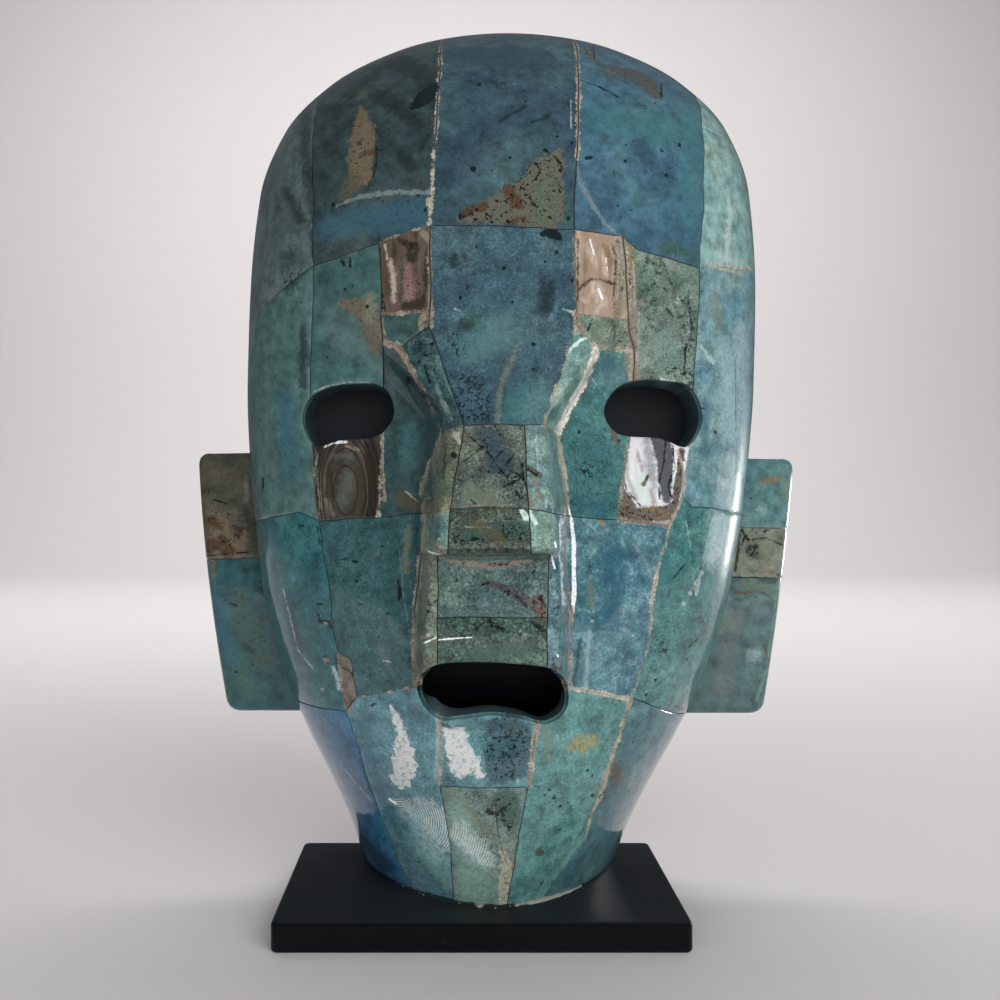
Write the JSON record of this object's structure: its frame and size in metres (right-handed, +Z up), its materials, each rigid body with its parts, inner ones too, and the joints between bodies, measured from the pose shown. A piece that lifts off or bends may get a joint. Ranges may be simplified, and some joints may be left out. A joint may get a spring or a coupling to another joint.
{
  "type": "stone mosaic mask with abalone shell inlays",
  "caption": "Upright face mask of polished stone tiles with abalone shell inlays over a dark backing, with slot eyes and mouth, standing chin down on a black slab.",
  "frame": {"origin": "middle of the slab's underside", "axes": "+Z up, the face looks along -Y, +X towards the viewer's right"},
  "size_m": [0.1475, 0.0612, 0.2135],
  "materials": {
    "dark_teal_stone": "polished",
    "teal_stone": "polished",
    "blue_stone": "polished",
    "green_stone": "polished",
    "olive_stone": "polished",
    "brown_stone": "polished",
    "pale_stone": "polished",
    "abalone_shell": "polished",
    "dark_resin": "satin",
    "satin_black": "satin"
  },
  "bodies": {
    "root": {"mask_backing": "dark_resin", "forehead_left_side": "dark_teal_stone", "forehead_left": "dark_teal_stone", "forehead_centre": "blue_stone", "forehead_right": "blue_stone", "forehead_right_side": "pale_stone", "temple_left": "teal_stone", "brow_left": "teal_stone", "brow_shell_left": "abalone_shell", "brow_centre": "blue_stone", "brow_shell_right": "abalone_shell", "brow_right": "green_stone", "temple_right": "pale_stone", "brow_chip_left": "green_stone", "brow_chip_right": "green_stone", "nose_root_left": "teal_stone", "nose_root_right": "pale_stone", "inner_eye_left": "teal_stone", "inner_eye_right": "teal_stone", "cheek_shell_left": "abalone_shell", "cheek_shell_right": "abalone_shell", "nose_bridge_centre": "olive_stone", "nose_bridge_left": "olive_stone", "nose_bridge_right": "green_stone", "nose_tip_centre": "green_stone", "nose_tip_left": "olive_stone", "nose_tip_right": "green_stone", "lip_centre_upper": "olive_stone", "lip_centre_lower": "green_stone", "lip_left": "olive_stone", "lip_right": "blue_stone", "cheek_left": "teal_stone", "cheek_chip_left": "brown_stone", "cheek_left_side": "teal_stone", "cheek_right": "blue_stone", "cheek_right_side": "green_stone", "chin_left_side": "blue_stone", "chin_left": "teal_stone", "chin_centre_upper": "blue_stone", "chin_centre_lower": "green_stone", "chin_right": "teal_stone", "chin_right_side": "blue_stone", "ear_left_upper": "brown_stone", "ear_left_lower": "teal_stone", "ear_right_upper": "olive_stone", "ear_right_middle": "brown_stone", "ear_right_lower": "green_stone", "display_base": "satin_black"}
  },
  "joints": []
}
